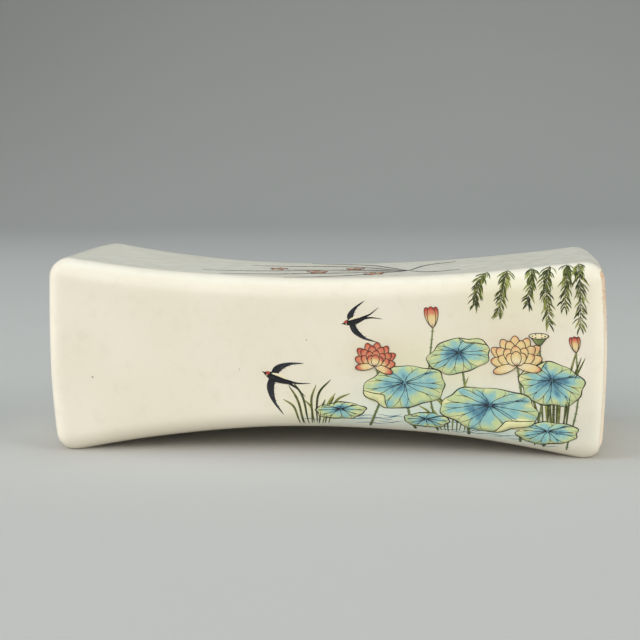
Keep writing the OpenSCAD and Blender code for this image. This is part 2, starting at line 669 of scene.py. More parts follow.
@dataclass(frozen=True)
class EnamelFinish:
    """Overglaze enamel whose colour runs with the shade painted on its mesh."""

    name: str
    stops: tuple[tuple[float, Colour], ...]
    patch: float = 0.12
    patch_size: float = 3.0
    roughness: float = 0.2
    smoother: float = 0.06
    rougher: float = 0.08
    brush: Relief = Relief(0.9, 2, 0.015, 0.5)

    def material(self) -> Material:
        """Makes the material.

        Returns:
            The material.
        """
        sheet = NodeSheet(self.name)
        drift = sheet.clouds(Clouds(self.patch_size, 3, 0.3, 0.7, -self.patch, self.patch))
        colour = sheet.ramp(sheet.math("ADD", sheet.attribute("shade"), drift), self.stops)
        sheet.relief(self.brush)
        low, high = self.roughness - self.smoother, self.roughness + self.rougher
        return sheet.surface(colour, sheet.clouds(Clouds(2.0, 2, 0.3, 0.7, low, high)))


@dataclass(frozen=True)
class StageFinish:
    """Plain pale studio floor and sweep."""

    pale: Colour = srgb(186, 184, 177)
    dusky: Colour = srgb(160, 158, 153)
    drift: Clouds = Clouds(420, 2, 0.3, 0.7, 0.0, 0.06)
    roughness: float = 0.9
    specular: float = 0.0

    def material(self) -> Material:
        """Makes the material.

        Returns:
            The material.
        """
        sheet = NodeSheet("studio_floor")
        colour = sheet.blend(sheet.clouds(self.drift), self.pale, self.dusky)
        return sheet.surface(colour, self.roughness, self.specular)


def place_mesh(name: str, mesh: Mesh, material: Material) -> bpy.types.Object:
    """Puts a smooth mesh into the scene, at the origin.

    Args:
        name: Name of the object and its mesh.
        mesh: Its shape, in metres. It is freed.
        material: Its finish.

    Returns:
        The object.
    """
    data = bpy.data.meshes.new(name)
    for face in mesh.faces:
        face.smooth = True
    mesh.to_mesh(data)
    mesh.free()
    data.materials.append(material)
    placed = bpy.data.objects.new(name, data)
    bpy.context.scene.collection.objects.link(placed)
    return placed


def make_piece(name: str, mesh: Mesh, material: Material) -> bpy.types.Object:
    """Makes a finished piece of the pillow, riding on the part's one body.

    Args:
        name: The piece's name.
        mesh: Its shape, in millimetres. It is freed.
        material: Its finish.

    Returns:
        The piece.
    """
    bmesh.ops.scale(mesh, vec=(MM, MM, MM), verts=mesh.verts)
    piece = place_mesh(name, mesh, material)
    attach(piece, BODY)
    log.info("%s: %d faces", name, len(piece.data.polygons))
    return piece


@dataclass(frozen=True)
class HazeSpot:
    """A soft breath of colour on the front face, as a centre, its reach and its strength."""

    name: str
    u: float
    v: float
    reach_u: float
    reach_v: float
    strength: float

    def at(self, u: float, v: float) -> float:
        """Gives its strength at a flat point."""
        away = ((u - self.u) / self.reach_u) ** 2 + ((v - self.v) / self.reach_v) ** 2
        return self.strength * math.exp(-away)


@dataclass
class GlazeCoat:
    """The continuous coat of glaze over five slabs, open at the bare end and on the ground foot lands."""

    form: BlockForm
    thickness: float = 0.4
    lift_off: float = 0.06
    steps_along: int = 128
    steps_across: int = 44
    edge_along: float = 0.11
    edge_across: float = 0.26
    rim_cells: int = 21
    rim_wobble: float = 0.025
    rim_waves: float = 4.0
    flush_from: float = 0.62
    flush_to: float = 0.94
    haze_facing: tuple[float, float] = (0.3, 0.9)
    haze_limit: float = 0.95
    cut_reach: float = 1e-4

    def skin(self) -> Mesh:
        """Draws a finely divided cube, open at one end, out to the block's form.

        Returns:
            The coat's outer face.
        """
        mesh = bmesh.new()
        bmesh.ops.create_cube(mesh, size=2)
        divide(mesh, edges_along(mesh, 0), self.steps_along)
        divide(mesh, edges_across(mesh), self.steps_across)
        rim = 2 * self.rim_cells / self.steps_across
        middles = ((f, f.calc_center_median()) for f in mesh.faces)
        bare = [f for f, at in middles if at.x > 1 - CLOSE and max(abs(at.y), abs(at.z)) < rim]
        bmesh.ops.delete(mesh, geom=bare, context="FACES")
        flush = mesh.verts.layers.float.new("flush")
        edge_share = Vector((self.edge_along, self.edge_across, self.edge_across))
        for vert in mesh.verts:
            share = vert.co.copy()
            if vert.is_boundary:
                share.yz *= 1 + self.rim_wobble * noise.noise(vert.co * self.rim_waves)
            turn = self.form.end_turn(share, edge_share)
            vert[flush] = smooth_step(self.flush_from, self.flush_to, turn)
            vert.co = self.form.cube_point(share, edge_share, self.thickness)
        return mesh

    def grind_feet(self, mesh: Mesh) -> None:
        """Cuts the coat away where the feet were ground.

        Args:
            mesh: The coat.
        """
        bmesh.ops.bisect_plane(
            mesh,
            geom=[*mesh.verts, *mesh.edges, *mesh.faces],
            dist=self.cut_reach,
            plane_co=(0, 0, 0),
            plane_no=(0, 0, -1),
            clear_outer=True,
        )

    def breathe(self, mesh: Mesh, spots: Sequence[HazeSpot]) -> None:
        """Stores the painted hazes on the coat's vertices.

        Args:
            mesh: The coat.
            spots: The hazes on the front face.
        """
        mesh.normal_update()
        for name in sorted({spot.name for spot in spots}):
            value = mesh.verts.layers.float.new(name)
            for vert in mesh.verts:
                v = vert.co.z - self.form.axis_z
                total = sum(s.at(vert.co.x, v) for s in spots if s.name == name)
                facing = smooth_step(*self.haze_facing, -vert.normal.y)
                vert[value] = min(self.haze_limit, total * facing)

    def build(self, finish: GlazeFinish, spots: Sequence[HazeSpot]) -> bpy.types.Object:
        """Makes the coat.

        Args:
            finish: Its finish.
            spots: The hazes painted under the enamels.

        Returns:
            The piece.
        """
        mesh = self.skin()
        self.grind_feet(mesh)
        bmesh.ops.recalc_face_normals(mesh, faces=mesh.faces)
        bmesh.ops.solidify(mesh, geom=list(mesh.faces), thickness=self.thickness - self.lift_off)
        self.breathe(mesh, spots)
        return make_piece("glaze_coat", mesh, finish.material())


@dataclass
class BareEnd:
    """The bare right end with its steam vent, in place of the end slab's faceted solid."""

    form: BlockForm
    slab_thickness: float = 6.0
    vent_diameter: float = 8.0
    vent_soft: float = 0.8
    soft_steps: int = 4
    back_off: float = 0.05
    steps: int = 44
    vent_cells: int = 6
    edge_share: float = 0.26
    round_reach: float = 2.4
    flush_full: float = 0.4
    flush_gone: float = 2.0

    @property
    def ring_share(self) -> float:
        """Half the side of the square of cells that becomes the vent's mouth."""
        return self.vent_cells / (self.steps / 2)

    @property
    def inner_x(self) -> float:
        """Place of the slab's inner face."""
        return self.form.body_length / 2 - self.slab_thickness

    def rounded(self, b: float, c: float) -> Vector:
        """Draws the grid's squares round the middle into circles round the vent.

        Args:
            b: Share of the half side along Y.
            c: Share of the half side along Z.

        Returns:
            The two shares, moved.
        """
        square = max(abs(b), abs(c))
        mouth = (self.vent_diameter / 2 + self.vent_soft) / self.form.core_half * (1 - self.edge_share)
        angle = math.atan2(c, b)
        circle = Vector((math.cos(angle), math.sin(angle))) * mouth * square / self.ring_share
        squared = smooth_step(self.ring_share, self.round_reach * self.ring_share, square)
        return circle.lerp(Vector((b, c)), squared)

    def build(self, finish: BiscuitFinish) -> bpy.types.Object:
        """Makes the end.

        Args:
            finish: Its finish.

        Returns:
            The piece, which stands for the end slab.
        """
        mesh = bmesh.new()
        bmesh.ops.create_cube(mesh, size=2)
        divide(mesh, edges_across(mesh), self.steps)
        middles = ((f, f.calc_center_median()) for f in mesh.faces)
        vent = [f for f, at in middles if max(abs(at.y), abs(at.z)) < self.ring_share]
        bmesh.ops.delete(mesh, geom=vent, context="FACES")
        edges = Vector((self.edge_share,) * 3)
        flush = mesh.verts.layers.float.new("flush")
        for vert in mesh.verts:
            inside = vert.co.x < 0
            b, c = self.rounded(vert.co.y, vert.co.z)
            inwards = (1 - max(abs(b), abs(c))) / self.edge_share
            vert[flush] = 1 - smooth_step(self.flush_full, self.flush_gone, inwards)
            vert.co = self.form.cube_point(Vector((1, b, c)), edges, -self.back_off)
            if inside:
                rise = (vert.co.z - self.form.axis_z) * self.drawn_in(Face.TOP if c > 0 else Face.BASE)
                vert.co = (self.inner_x, vert.co.y * self.drawn_in(Face.FRONT), self.form.axis_z + rise)
        self.pierce(mesh)
        piece = make_piece("bare_end", mesh, finish.material())
        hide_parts("right_end_slab")
        return piece

    def drawn_in(self, face: Face) -> float:
        """Finds how far the slab's inner side is drawn in towards the long axis.

        Args:
            face: The long face that it reaches towards.

        Returns:
            The share of the outer side's reach that it keeps.
        """
        cavity = self.form.core_out(face, self.inner_x, self.slab_thickness - self.form.edge_radius)
        mitre = self.form.core_out(face, self.form.core_x) + self.form.edge_radius * math.sin(QUARTER / 2)
        return cavity / mitre

    def pierce(self, mesh: Mesh) -> None:
        """Rounds the vent's mouth inwards and closes its bore to the inner face.

        Args:
            mesh: The end, open at both ends of the vent.
        """
        halfway = self.inner_x + self.slab_thickness / 2
        rims = [e for e in mesh.edges if e.is_boundary]
        inner = [e for e in rims if e.verts[0].co.x < halfway]
        lip = [e for e in rims if e.verts[0].co.x > halfway]
        for step in range(1, self.soft_steps + 1):
            turn = QUARTER * step / self.soft_steps
            before = QUARTER * (step - 1) / self.soft_steps
            grown = bmesh.ops.extrude_edge_only(mesh, edges=lip)["geom"]
            lip = [g for g in grown if isinstance(g, bmesh.types.BMEdge) and g.is_boundary]
            radius = self.vent_diameter / 2 + self.vent_soft * (1 - math.sin(turn))
            for vert in {v for e in lip for v in e.verts}:
                out = Vector((vert.co.y, vert.co.z - self.form.axis_z)).normalized() * radius
                sunk = vert.co.x - self.vent_soft * (math.cos(before) - math.cos(turn))
                vert.co = (sunk, out.x, out.y + self.form.axis_z)
        bmesh.ops.bridge_loops(mesh, edges=lip + inner)
        bmesh.ops.recalc_face_normals(mesh, faces=mesh.faces)


def spline(points: Sequence[Sequence[float]]) -> Outline:
    """Makes a smooth curve through points.

    Args:
        points: The points, flat, in millimetres.

    Returns:
        A function from 0 at the first point and 1 at the last to the place there.
    """
    knots = [Vector(point) for point in points]
    knots = [2 * knots[0] - knots[1], *knots, 2 * knots[-1] - knots[-2]]
    spans = len(points) - 1

    def at(share: float) -> Vector:
        """Finds a place on the curve.

        Args:
            share: Share of the way along it.

        Returns:
            The place.
        """
        span = min(spans - 1, max(0, int(share * spans)))
        t = share * spans - span
        a, b, c, d = knots[span:span + 4]
        bend = (2 * a - 5 * b + 4 * c - d) * t ** 2
        twist = (3 * b - a - 3 * c + d) * t ** 3
        return 0.5 * (2 * b + (c - a) * t + bend + twist)

    return at


def polar(length: float, angle: float) -> Vector:
    """Gives the flat vector of that length at an angle in degrees from +u."""
    return Vector((math.cos(math.radians(angle)), math.sin(math.radians(angle)))) * length


def heading(line: Outline, share: float, step: float = 0.01) -> float:
    """Gives a curve's direction at a share of it, in degrees from +u."""
    ahead = line(min(1.0, share + step)) - line(max(0.0, share - step))
    return math.degrees(math.atan2(ahead.y, ahead.x))


def tapered(width: float, tail: float = 0.15, power: float = 0.7) -> Along:
    """Makes a brush stroke's width: it swells from a fine start and ends fine.

    Args:
        width: Its greatest width.
        tail: Share of that width at the ends.
        power: How full the middle is.

    Returns:
        A function from the share of the stroke to its width there.
    """
    return lambda s: width * (tail + (1 - tail) * max(0.0, math.sin(math.pi * s)) ** power)


def thinning(width: float, end: float) -> Along:
    """Makes the width of a line that is drawn from thick to thin."""
    return lambda s: width + (end - width) * s


def even(value: float) -> Callable[..., float]:
    """Makes a shade that is the same all over a mark."""
    return lambda *place: value


def round_spot(middle: Vector, radius: float) -> Outline:
    """Makes a round outline by the angle round its middle."""
    return lambda angle: middle + polar(radius, math.degrees(angle))


class Pen(Enum):
    """A pen, by the width of its lines at their start and at their end, in millimetres."""

    VEIN = (0.4, 0.24)
    TWIG = (0.24, 0.1)
    FOLD = (0.3, 0.3)
    PETAL = (0.25, 0.25)
    POD = (0.26, 0.26)
    PRICKLE = (0.2, 0.08)
    BRANCH = (0.36, 0.12)
    BLADE = (0.16, 0.06)
    STALK = (0.5, 0.25)

    def width(self, share: float) -> float:
        """Gives the width of a line at a share of its length."""
        start, end = self.value
        return start + (end - start) * share


class Stamp(Enum):
    """The solid that a painted mark is pressed from."""

    BAR = "bar"
    DRUM = "drum"


class Grain(Enum):
    """A stamp, and how finely it is divided: along and across a bar, or round and into a drum."""

    TICK = (Stamp.BAR, 1, 1)
    FINE = (Stamp.BAR, 6, 2)
    LONG = (Stamp.BAR, 30, 2)
    LOOP = (Stamp.BAR, 84, 2)
    DOT = (Stamp.DRUM, 10, 1)
    PETAL = (Stamp.DRUM, 26, 3)
    LEAF = (Stamp.DRUM, 84, 7)

    def stamp(self) -> Mesh:
        """Makes the stamp.

        Returns:
            A bar or a drum, from -1 to 1 each way.
        """
        kind, first, second = self.value
        mesh = bmesh.new()
        mesh.verts.layers.float.new("shade")
        if kind is Stamp.BAR:
            bmesh.ops.create_cube(mesh, size=2)
            for axis, parts in enumerate((first, second)):
                divide(mesh, edges_along(mesh, axis), parts)
            return mesh
        bmesh.ops.create_cone(mesh, cap_ends=True, segments=first, radius1=1, radius2=1, depth=2)
        caps = [f for f in mesh.faces if len(f.verts) == first]
        for cap in caps:
            for _ in range(second - 1):
                bmesh.ops.inset_region(mesh, faces=[cap], thickness=1 / second, use_even_offset=True)
        bmesh.ops.poke(mesh, faces=caps)
        return mesh


class Painting:
    """Enamel marks, modelled flat in millimetres, layer by layer, and then laid on a face."""

    SINK = -0.05
    FALL = 0.03
    LEAST_WIDTH = 0.06

    def __init__(self, face: Face) -> None:
        """Starts a painting.

        Args:
            face: The face that it is for.
        """
        self.face = face
        self.sheets: dict[Layer, Mesh] = {}
        self.stamps = {grain: grain.stamp() for grain in Grain}
        self.scratch = bpy.data.meshes.new("scratch")

    def press(self, layer: Layer, mark: Mesh) -> None:
        """Adds a shaped mark to a layer.

        Args:
            layer: The layer.
            mark: The mark, flat. It is freed.
        """
        if layer not in self.sheets:
            self.sheets[layer] = bmesh.new()
            self.sheets[layer].verts.layers.float.new("shade")
        mark.to_mesh(self.scratch)
        self.sheets[layer].from_mesh(self.scratch)
        mark.free()

    def stroke(
        self,
        layer: Layer,
        path: Outline,
        width: Along,
        lift: float,
        shade: Along = even(0.3),
        grain: Grain = Grain.FINE,
    ) -> None:
        """Lays a brush stroke.

        Args:
            layer: The layer that it belongs to.
            path: Its line.
            width: Its width along the line.
            lift: Height of its crown above the glaze.
            shade: Its shade along the line.
            grain: The bar that it is pressed from.
        """
        mark = self.stamps[grain].copy()
        shades = mark.verts.layers.float["shade"]
        for vert in mark.verts:
            s, side, upper = (vert.co.x + 1) / 2, vert.co.y, vert.co.z > 0
            breadth = max(self.LEAST_WIDTH, width(s))
            place = path(s) + polar(side * breadth / 2, heading(path, s) + 90)
            vert.co = (place.x, place.y, lift - self.FALL * abs(side) if upper else self.SINK)
            vert[shades] = shade(s)
        self.press(layer, mark)

    def pad(
        self,
        layer: Layer,
        outline: Outline,
        hub: Vector,
        lift: float,
        shade: Callable[[float, float], float],
        grain: Grain = Grain.DOT,
    ) -> None:
        """Lays a filled patch.

        Args:
            layer: The layer that it belongs to.
            outline: Its edge, by the angle round the hub.
            hub: A point that sees all of the edge.
            lift: Height of its middle above the glaze.
            shade: Its shade, by the share of the way out and the angle.
            grain: The drum that it is pressed from.
        """
        mark = self.stamps[grain].copy()
        shades = mark.verts.layers.float["shade"]
        for vert in mark.verts:
            out = min(1.0, math.hypot(vert.co.x, vert.co.y))
            angle = math.atan2(vert.co.y, vert.co.x)
            place = hub + (outline(angle) - hub) * out
            vert.co = (place.x, place.y, lift - self.FALL * out ** 4 if vert.co.z > 0 else self.SINK)
            vert[shades] = shade(out, angle)
        self.press(layer, mark)

    def lay(
        self, form: BlockForm, coat: GlazeCoat, finishes: dict[Layer, EnamelFinish], suffix: str
    ) -> None:
        """Wraps every layer onto the glazed face and makes its piece.

        Args:
            form: The block.
            coat: The glaze that the enamel lies on.
            finishes: The enamel of each layer.
            suffix: Ending of the pieces' names.
        """
        for layer, sheet in self.sheets.items():
            for vert in sheet.verts:
                u, v, lift = vert.co
                vert.co = form.face_point(self.face, u, v, coat.thickness + lift)
            name, slot = layer.value
            bmesh.ops.recalc_face_normals(sheet, faces=sheet.faces)
            make_piece(name + suffix, sheet, finishes[layer].material())
        for stamp in self.stamps.values():
            stamp.free()
        bpy.data.meshes.remove(self.scratch)


@dataclass(frozen=True)
class LotusLeaf:
    """A lotus leaf seen at a slant, with a wavy rim, forked veins and a stretch of rim turned over."""

    u: float
    v: float
    half_width: float
    half_height: float
    tilt: float
    lift: float
    veins: int = 14
    turned: float = 0.0
    hub_rise: float = 0.2
    wide_ripple: float = 0.045
    fine_ripple: float = 0.03
    hub_shade: float = 0.1
    rim_gain: float = 0.72
    streak_gain: float = 0.09
    cloud_gain: float = 0.24
    cloud_size: float = 2.2
    rim_line: tuple[float, float] = (0.28, 0.12)
    vein_stray: float = 0.3
    vein_bend: float = 0.12
    vein_start: float = 0.05
    vein_knee: float = 0.35
    fork_at: float = 0.62
    fork_turn: float = 0.12
    twig_knee: float = 0.8
    twig_end: float = 0.95
    fold_turn: float = 1.1
    fold_depth: float = 0.3
    fold_shade: float = 0.92
    fold_line_rise: float = 0.015
    line_rise: float = 0.02

    @property
    def hub(self) -> Vector:
        """Where the veins meet."""
        return Vector((self.u, self.v + self.hub_rise * self.half_height))

    def rim(self, angle: float) -> Vector:
        """Finds a place on the leaf's wavy edge.

        Args:
            angle: Angle round the leaf's middle.

        Returns:
            The place.
        """
        wide = self.wide_ripple * math.sin(5 * angle + self.u)
        fine = self.fine_ripple * math.sin(9 * angle + self.v)
        ripple = 1 + wide + fine
        x = self.half_width * ripple * math.cos(angle)
        y = self.half_height * ripple * math.sin(angle)
        return Vector((self.u, self.v)) + polar(x, self.tilt) + polar(y, self.tilt + 90)

    def towards(self, angle: float, share: float) -> Vector:
        """Gives the place a share of the way from the hub to the rim."""
        return self.hub + (self.rim(angle) - self.hub) * share

    def shade(self, out: float, angle: float) -> float:
        """Runs from deep at the hub to pale at the rim, streaked between the veins and clouded.

        Args:
            out: Share of the way out.
            angle: Angle round the leaf's middle.

        Returns:
            The shade.
        """
        streak = self.streak_gain * math.cos(self.veins * angle) * out
        reach = self.cloud_size * out
        cloud = noise.noise(Vector((self.u + reach * math.cos(angle), reach * math.sin(angle), self.v)))
        return self.hub_shade + self.rim_gain * out ** 0.8 + streak + self.cloud_gain * cloud

    def rim_pen(self, share: float) -> float:
        """Gives the wavering width of the line round the rim."""
        width, sway = self.rim_line
        return width + sway * math.sin(9 * math.pi * share + self.u)

    def paint(self, on: Painting) -> None:
        """Paints the leaf, its veins, its rim and the stretch that is turned over.

        Args:
            on: The painting.
        """
        on.pad(Layer.LEAF, self.rim, self.hub, self.lift, self.shade, Grain.LEAF)
        ink = self.lift + self.line_rise
        for k in range(self.veins):
            angle = math.tau * (k + self.vein_stray * math.sin(k * 2.1)) / self.veins
            bend = angle + self.vein_bend * math.sin(k * 1.7)
            fork = self.towards(bend, self.fork_at)
            start, knee = self.towards(angle, self.vein_start), self.towards(angle, self.vein_knee)
            on.stroke(Layer.INK, spline((start, knee, fork)), Pen.VEIN.width, ink)
            for turn in (-self.fork_turn, self.fork_turn):
                knee = self.towards(bend + 0.35 * turn, self.twig_knee)
                twig = spline((fork, knee, self.towards(bend + turn, self.twig_end)))
                on.stroke(Layer.INK, twig, Pen.TWIG.width, ink)
        on.stroke(Layer.INK, lambda s: self.rim(math.tau * s), self.rim_pen, ink, grain=Grain.LOOP)
        if self.turned:
            self.turn_over(on, ink + self.line_rise / 2)

    def fold(self, along: float, share: float) -> Vector:
        """Finds a place on the stretch of rim that is turned over.

        Args:
            along: Share of the way along the stretch.
            share: Share of the fold's depth, from 0 at the rim to 1 at its inner edge.

        Returns:
            The place.
        """
        angle = self.turned + self.fold_turn * (along - 0.5)
        depth = self.fold_depth * math.sin(math.pi * along) ** 0.8
        return self.towards(angle, 1 - depth * share)

    def fold_breadth(self, along: float) -> float:
        """Gives how far the fold reaches in."""
        return (self.fold(along, 0) - self.fold(along, 1)).length

    def turn_over(self, on: Painting, lift: float) -> None:
        """Paints the pale underside where the rim is turned over.

        Args:
            on: The painting.
            lift: Its height above the glaze.
        """
        middle = partial(self.fold, share=0.5)
        on.stroke(Layer.LEAF, middle, self.fold_breadth, lift, even(self.fold_shade), Grain.LONG)
        for share in (0, 1):
            edge = partial(self.fold, share=share)
            on.stroke(Layer.INK, edge, Pen.FOLD.width, lift + self.fold_line_rise, grain=Grain.LONG)


@dataclass(frozen=True)
class Petal:
    """One pointed petal."""

    base: Vector
    length: float
    width: float
    angle: float
    lift: float
    blush: float = 0.55
    base_power: float = 0.62
    tip_power: float = 0.5
    fullness: float = 1.72
    veins: tuple[float, ...] = (-0.5, -0.25, 0.0, 0.25, 0.5)
    vein_width: float = 0.12
    vein_start: float = 0.3
    vein_reach: float = 0.82
    vein_rise: float = 0.008
    edge_rise: float = 0.015

    def edge(self, turn: float) -> Vector:
        """Finds a place on the petal's edge.

        Args:
            turn: Angle round the petal, from 0 at its tip to half a turn at its base.

        Returns:
            The place.
        """
        along = (1 + math.cos(turn)) / 2
        belly = along ** self.base_power * (1 - along) ** self.tip_power * self.fullness
        side = math.copysign(belly * self.width / 2, math.sin(turn))
        return self.base + polar(along * self.length, self.angle) + polar(side, self.angle + 90)

    def shade(self, out: float, turn: float) -> float:
        """Runs from cream at the base to coral at the tip."""
        along = 0.5 + out * math.cos(turn) / 2
        return self.blush * along ** 1.5 + 0.1 * out

    def paint(self, on: Painting) -> None:
        """Paints the petal, its edge and its fine veins.

        Args:
            on: The painting.
        """
        middle = self.base + polar(self.length / 2, self.angle)
        on.pad(Layer.PETAL, self.edge, middle, self.lift, self.shade, Grain.PETAL)
        pen, rise = Pen.PETAL.width, self.lift + self.edge_rise
        on.stroke(Layer.INK, lambda s: self.edge(math.tau * s - math.pi), pen, rise, even(0.85), Grain.LONG)
        for lean in self.veins:
            aside = polar(lean * self.width * 0.5, self.angle + 90)
            tip = self.base + polar(self.length * self.vein_reach, self.angle) + aside * 0.8
            belly = self.base + polar(self.length * 0.5, self.angle) + aside
            line = spline((self.base + polar(self.vein_start, self.angle), belly, tip))
            on.stroke(Layer.CORAL, line, tapered(self.vein_width), self.lift + self.vein_rise, even(0.75))


@dataclass(frozen=True)
class LotusFlower:
    """An open lotus: rows of petals from the back to the front."""

    u: float
    v: float
    size: float
    lean: float
    lift: float
    blush: float = 0.75
    petal_step: float = 0.02
    rows: tuple[tuple[int, float, float, float], ...] = (
        (5, 52.0, 1.0, 0.46),
        (6, 76.0, 0.86, 0.46),
        (5, 62.0, 0.66, 0.44),
        (2, 104.0, 0.8, 0.36),
        (3, 34.0, 0.48, 0.42),
    )

    def paint(self, on: Painting) -> None:
        """Paints the petals in order, each a little higher than the one behind it.

        Args:
            on: The painting.
        """
        lift, base = self.lift, Vector((self.u, self.v))
        for count, spread, length, width in self.rows:
            for k in sorted(range(count), key=lambda k: -abs(k - (count - 1) / 2)):
                angle = 90 + self.lean + spread * (2 * k / (count - 1) - 1)
                Petal(base, self.size * length, self.size * width, angle, lift, self.blush).paint(on)
                lift += self.petal_step


@dataclass(frozen=True)
class LotusBud:
    """A closed lotus bud on its stem."""

    u: float
    v: float
    size: float
    lean: float
    lift: float
    folds: tuple[tuple[float, float], ...] = ((14.0, 0.42), (-14.0, 0.42), (0.0, 0.5))
    petal_step: float = 0.025

    def paint(self, on: Painting) -> None:
        """Paints the folded petals.

        Args:
            on: The painting.
        """
        base, lift = Vector((self.u, self.v)), self.lift
        for turn, width in self.folds:
            Petal(base, self.size, self.size * width, 90 + self.lean + turn, lift, 1.0).paint(on)
            lift += self.petal_step


@dataclass(frozen=True)
class SeedPod:
    """A lotus seed pod: a cup with a rim and a few seeds."""

    u: float
    v: float
    size: float
    lift: float
    seeds: int = 6
    seed_radius: float = 0.28
    seed_ring: tuple[float, float] = (0.62, 0.16)
    slant: float = 0.3
    depth: float = 0.75
    taper: float = 0.45
    layer_step: float = 0.02

    @property
    def middle(self) -> Vector:
        """Middle of the cup's flat top."""
        return Vector((self.u, self.v))

    def cup(self, angle: float) -> Vector:
        """Finds a place on the cup's side, wide above and narrow at the stem.

        Args:
            angle: Angle round the middle of the cup's top.

        Returns:
            The place.
        """
        drop = max(0.0, -math.sin(angle))
        width = math.cos(angle) * (1 - self.taper * drop)
        height = math.sin(angle) * (self.slant + self.depth * drop)
        return self.middle + Vector((width, height)) * self.size

    def rim(self, angle: float) -> Vector:
        """Gives the rim of the cup's flat top."""
        return self.middle + Vector((math.cos(angle), self.slant * math.sin(angle))) * self.size

    def paint(self, on: Painting) -> None:
        """Paints the cup, its rim and its seeds.

        Args:
            on: The painting.
        """
        top, ink = self.lift + self.layer_step, self.lift + 2 * self.layer_step
        on.pad(
            Layer.STEM, self.cup, self.middle, self.lift, lambda out, angle: 0.35 + 0.3 * out, Grain.PETAL)
        on.pad(Layer.PETAL, self.rim, self.middle, top, even(0.15), Grain.PETAL)
        for line in (lambda s: self.rim(math.tau * s), lambda s: self.cup(math.pi * (1 + s))):
            on.stroke(Layer.INK, line, Pen.POD.width, ink, grain=Grain.LONG)
        wide, high = self.seed_ring
        for k in range(self.seeds):
            turn = math.tau * k / self.seeds
            seed = self.middle + Vector((wide * math.cos(turn), high * math.sin(turn))) * self.size
            on.pad(Layer.INK, round_spot(seed, self.seed_radius), seed, ink, even(0.4))


@dataclass(frozen=True)
class Stem:
    """A lotus stem with fine prickles."""

    points: tuple[tuple[float, float], ...]
    width: float = 0.9
    lift: float = 0.04
    foot_share: float = 1.1
    top_share: float = 0.8
    prickles: int = 14
    prickle_length: float = 0.4
    prickle_root: float = 0.46
    prickle_lean: float = 0.7
    line_rise: float = 0.02

    def paint(self, on: Painting) -> None:
        """Paints the stem and its prickles.

        Args:
            on: The painting.
        """
        line = spline(self.points)
        ink = self.lift + self.line_rise
        breadth = thinning(self.width * self.foot_share, self.width * self.top_share)
        on.stroke(Layer.STEM, line, breadth, self.lift, lambda s: 0.25 + 0.4 * s, Grain.LONG)
        for k in range(self.prickles):
            s = (k + 0.5) / self.prickles
            for side in (90, -90):
                root = line(s) + polar(self.width * self.prickle_root, heading(line, s) + side)
                tip = root + polar(self.prickle_length, heading(line, s) + side * self.prickle_lean)
                on.stroke(Layer.INK, spline((root, tip)), Pen.PRICKLE.width, ink, grain=Grain.TICK)


@dataclass(frozen=True)
class WillowBranch:
    """A hanging willow branch with fine narrow leaves."""

    points: tuple[tuple[float, float], ...]
    leaves: int
    seed: int
    lift: float = 0.05
    leaf_length: tuple[float, float] = (2.4, 4.6)
    leaf_width: tuple[float, float] = (0.36, 0.62)
    leaf_turn: tuple[float, float] = (8, 46)
    leaf_bow: tuple[float, float] = (4, 12)
    leaf_tones: tuple[float, float] = (0.0, 0.85)
    leaf_rise: float = 0.05
    leaf_stray: float = 0.4
    first_leaf: float = 0.04
    twig_rise: float = 0.01

    def paint(self, on: Painting) -> None:
        """Paints the twig and its leaves.

        Args:
            on: The painting.
        """
        draw = random.Random(self.seed)
        line = spline(self.points)
        on.stroke(Layer.INK, line, Pen.BRANCH.width, self.lift + self.twig_rise, even(0.7), Grain.LONG)
        for k in range(self.leaves):
            along = (1 - self.first_leaf) * (k + draw.uniform(-self.leaf_stray, self.leaf_stray))
            s = min(1.0, max(0.0, self.first_leaf + along / self.leaves))
            root = line(s)
            side = -1 if k % 2 else 1
            angle = heading(line, s) + side * draw.uniform(*self.leaf_turn)
            length = draw.uniform(*self.leaf_length) * (1.1 - 0.3 * s)
            belly = root + polar(length * 0.5, angle + side * draw.uniform(*self.leaf_bow))
            tone = draw.uniform(*self.leaf_tones)
            on.stroke(
                Layer.WILLOW,
                spline((root, belly, root + polar(length, angle))),
                tapered(draw.uniform(*self.leaf_width), 0.1, 0.8),
                self.lift + draw.uniform(0.0, self.leaf_rise),
                lambda t, tone=tone: tone + 0.2 * t,
            )


@dataclass(frozen=True)
class ReedClump:
    """A clump of reed blades that fan out from the water and bend over at their tips."""

    u: float
    v: float
    half_width: float
    heights: tuple[float, float]
    blades: int
    seed: int
    lean: float = 20.0
    bend: float = 46.0
    lift: float = 0.03
    width: float = 0.85
    least_bend: float = 8.0
    knee: float = 0.62
    tip: float = 0.42
    tones: tuple[float, float] = (0.1, 0.8)
    blade_stray: float = 0.3
    root_stray: float = 0.6
    lean_stray: float = 6.0
    blade_step: float = 0.004
    line_rise: float = 0.008

    def paint(self, on: Painting) -> None:
        """Paints the blades, each with a dark line down its middle.

        Args:
            on: The painting.
        """
        draw = random.Random(self.seed)
        for k in range(self.blades):
            share = 2 * (k + draw.uniform(-self.blade_stray, self.blade_stray)) / (self.blades - 1) - 1
            level = self.v + draw.uniform(-self.root_stray, self.root_stray)
            root = Vector((self.u + share * self.half_width, level))
            height = draw.uniform(*self.heights)
            angle = 90 - self.lean * share + draw.uniform(-self.lean_stray, self.lean_stray)
            knee = root + polar(height * self.knee, angle)
            bend = draw.uniform(self.least_bend, self.bend) * math.copysign(1, share)
            line = spline((root, knee, knee + polar(height * self.tip, angle - bend)))
            tone = draw.uniform(*self.tones)
            lift = self.lift + self.blade_step * k
            width = tapered(self.width, 0.08, 0.6)
            on.stroke(Layer.WILLOW, line, width, lift, lambda s, tone=tone: tone + 0.25 * s, Grain.LONG)
            on.stroke(Layer.INK, line, Pen.BLADE.width, lift + self.line_rise, even(0.6), Grain.LONG)


